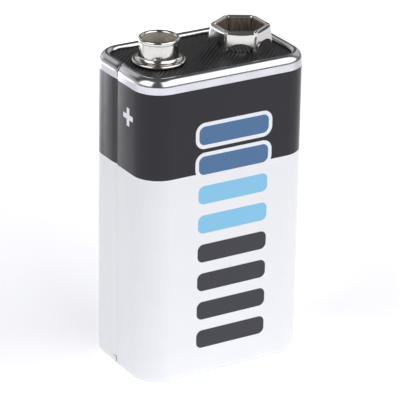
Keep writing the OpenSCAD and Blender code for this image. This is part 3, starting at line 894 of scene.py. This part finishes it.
class BATTERY_OT_rivets(bpy.types.Operator):
    """Turns the two hollow rivets that hold the terminals"""

    bl_idname = "battery.rivets"
    bl_label = "Hollow rivets"

    def execute(self, context):
        s = context.scene.battery_terminals
        nickel = brushed_finish("rivet_nickel", s.rivet_colour, (2500, 2500, 2500), metallic=0.3)
        edge = s.head_thickness / 2
        bore = s.rivet_radius - s.rivet_wall
        for node in ("positive_rivet", "negative_rivet"):
            low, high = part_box(node)
            axis = (low + high) / 2
            rim = axis.x + s.head_radius - edge
            line = Section(axis.x + bore, low.z, axis.y)
            line.line(rim, low.z)
            line.arc(rim, low.z + edge, 180, 10)
            line.line(axis.x + s.rivet_radius, low.z + s.head_thickness)
            line.line(axis.x + s.rivet_radius, high.z - s.head_thickness)
            line.line(rim, high.z - s.head_thickness)
            line.arc(rim, high.z - edge, 180, 10)
            line.line(axis.x + bore + edge, high.z)
            line.arc(axis.x + bore + edge, high.z - edge, 90, 6)
            bm = line.close().spun(axis.x, axis.y, 48)
            name = node.replace("_rivet", "_hollow_rivet")
            piece_from(bm, name, node, [nickel], sharp_degrees=40)
        return {"FINISHED"}


class BATTERY_OT_insides(bpy.types.Operator):
    """Finishes the pieces inside the case, which keep their shapes"""

    bl_idname = "battery.insides"
    bl_label = "Cells, strips, cards and bottom plate"

    def execute(self, context):
        s = context.scene.battery_insides
        cells = brushed_finish("drawn_can", s.can_colour, (5000, 5000, 250))
        strips = brushed_finish("nickel_strip", s.strip_colour, (400, 5000, 5000))
        card = card_finish(s.card_colour, s.fibre_colour)
        plastic = bpy.data.materials["black_plastic"]
        kinds = (("cell_", cells), ("link_", strips), ("_lead", strips), ("card", card),
                 ("liner", card), ("bottom_plate", plastic))
        for name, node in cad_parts.items():
            for word, finish in kinds:
                if word in name:
                    for slot in node.material_slots:
                        slot.material = finish
        return {"FINISHED"}


class BATTERY_OT_stage(bpy.types.Operator):
    """Sets the floor, the soft light and the camera"""

    bl_idname = "battery.stage"
    bl_label = "Stage"

    def execute(self, context):
        s = context.scene.battery_stage
        scene = context.scene
        bm = bmesh.new()
        bmesh.ops.create_grid(bm, x_segments=1, y_segments=1, size=s.floor_reach)
        mesh = bpy.data.meshes.new("floor")
        bm.to_mesh(mesh)
        bm.free()
        mesh.materials.append(floor_finish(s))
        floor = bpy.data.objects.new("floor", mesh)
        scene.collection.objects.link(floor)

        turn = Matrix.Rotation(s.azimuth, 3, "Z") @ Matrix.Rotation(math.pi / 2 - s.elevation, 3, "X")
        turn = turn @ Matrix.Rotation(s.roll, 3, "Z")
        camera = bpy.data.cameras.new("camera")
        camera.lens = s.lens
        camera.sensor_width = 36
        camera.clip_start = 0.01
        seat = bpy.data.objects.new("camera", camera)
        seat.matrix_world = turn.to_4x4()
        seat.location = Vector(s.target) + turn @ Vector((0, 0, s.distance))
        scene.collection.objects.link(seat)
        scene.camera = seat

        toward = Vector((math.sin(s.azimuth), -math.cos(s.azimuth), 0))
        side = Vector((math.cos(s.azimuth), math.sin(s.azimuth), 0))
        self.world(scene, s, toward, side)
        scene.view_settings.view_transform = "Standard"
        return {"FINISHED"}

    def world(self, scene, s, toward, side):
        """White to the camera; to the battery, a dark room with two softboxes and fainter lights."""
        world = bpy.data.worlds.new("studio")
        world.use_nodes = True
        scene.world = world
        nodes = world.node_tree.nodes
        links = world.node_tree.links

        def part(kind, *values, **settings):
            """Adds a node, links or sets its inputs in order, and returns its first output."""
            made = nodes.new("ShaderNode" + kind)
            for setting, value in settings.items():
                setattr(made, setting, value)
            for value, socket in zip(values, made.inputs):
                if isinstance(value, bpy.types.NodeSocket):
                    links.new(value, socket)
                else:
                    socket.default_value = value
            return made.outputs[0]

        def times(first, second):
            return part("Math", first, second, operation="MULTIPLY")

        def plus(first, second):
            return part("Math", first, second, operation="ADD")

        def within(value, first, last, blur):
            """1 between two values, with soft edges."""
            rise = part("MapRange", value, first - blur, first + blur)
            fall = part("MapRange", value, last + blur, last - blur)
            return times(rise, fall)

        coords = nodes.new("ShaderNodeTexCoord").outputs["Generated"]
        ways = [
            part("VectorMath", coords, tuple(way), operation="DOT_PRODUCT")
            for way in (toward, side, (0, 0, 1))
        ]
        ways = [way.node.outputs["Value"] for way in ways]
        azimuth = part("Math", ways[1], ways[0], operation="ARCTAN2")
        height = part("Math", ways[2], operation="ARCSINE")
        left_box = times(within(azimuth, *s.left_box, s.blur), s.left_share)
        boxes = plus(left_box, within(azimuth, *s.right_box, s.blur))
        boxes = times(boxes, within(height, *s.box_heights, s.blur))
        level = part("MapRange", boxes, 0.0, 1.0, s.room_level, s.box_level)
        low = times(within(azimuth, *s.low_sides, s.blur), within(height, *s.low_heights, 2 * s.blur))
        level = plus(level, times(low, s.low_level))
        aside = part("Math", azimuth, operation="ABSOLUTE")
        behind = times(within(aside, *s.behind_sides, s.blur), within(height, *s.behind_heights, s.blur))
        level = plus(level, times(behind, s.behind_level))

        studio = nodes["Background"]
        links.new(level, studio.inputs["Strength"])
        studio.inputs["Color"].default_value = (1, 1, 1, 1)
        white = nodes.new("ShaderNodeBackground")
        white.inputs["Color"].default_value = (1, 1, 1, 1)
        path = nodes.new("ShaderNodeLightPath")
        choice = nodes.new("ShaderNodeMixShader")
        links.new(path.outputs["Is Camera Ray"], choice.inputs[0])
        links.new(studio.outputs[0], choice.inputs[1])
        links.new(white.outputs[0], choice.inputs[2])
        links.new(choice.outputs[0], nodes["World Output"].inputs["Surface"])


class BATTERY_PT_sidebar(bpy.types.Panel):
    """Lists the battery's pieces and settings"""

    bl_label = "Nine Volt Battery"
    bl_idname = "BATTERY_PT_sidebar"
    bl_space_type = "VIEW_3D"
    bl_region_type = "UI"
    bl_category = "Battery"

    def draw(self, context):
        for operator, groups in STEPS:
            self.layout.operator(operator)
            for group in groups:
                settings = getattr(context.scene, group)
                for name in GROUPS[group].__annotations__:
                    self.layout.prop(settings, name)


GROUPS = {
    "battery_case": CaseSettings,
    "battery_print": PrintSettings,
    "battery_board": BoardSettings,
    "battery_terminals": TerminalSettings,
    "battery_insides": InsideSettings,
    "battery_stage": StageSettings,
}
OPERATORS = (
    BATTERY_OT_case,
    BATTERY_OT_board,
    BATTERY_OT_stud,
    BATTERY_OT_socket,
    BATTERY_OT_rivets,
    BATTERY_OT_insides,
    BATTERY_OT_stage,
)
STEPS = (
    ("battery.case", ("battery_case", "battery_print")),
    ("battery.board", ("battery_board",)),
    ("battery.stud", ("battery_terminals",)),
    ("battery.socket", ()),
    ("battery.rivets", ()),
    ("battery.insides", ("battery_insides",)),
    ("battery.stage", ("battery_stage",)),
)


def register():
    for cls in (*GROUPS.values(), *OPERATORS, BATTERY_PT_sidebar):
        bpy.utils.register_class(cls)
    for name, group in GROUPS.items():
        setattr(bpy.types.Scene, name, PointerProperty(type=group))


def unregister():
    for name in GROUPS:
        delattr(bpy.types.Scene, name)
    for cls in (BATTERY_PT_sidebar, *OPERATORS, *GROUPS.values()):
        bpy.utils.unregister_class(cls)


def main():
    register()
    bpy.ops.battery.case()
    bpy.ops.battery.board()
    bpy.ops.battery.stud()
    bpy.ops.battery.socket()
    bpy.ops.battery.rivets()
    bpy.ops.battery.insides()
    bpy.ops.battery.stage()


if __name__ == "__main__":
    main()
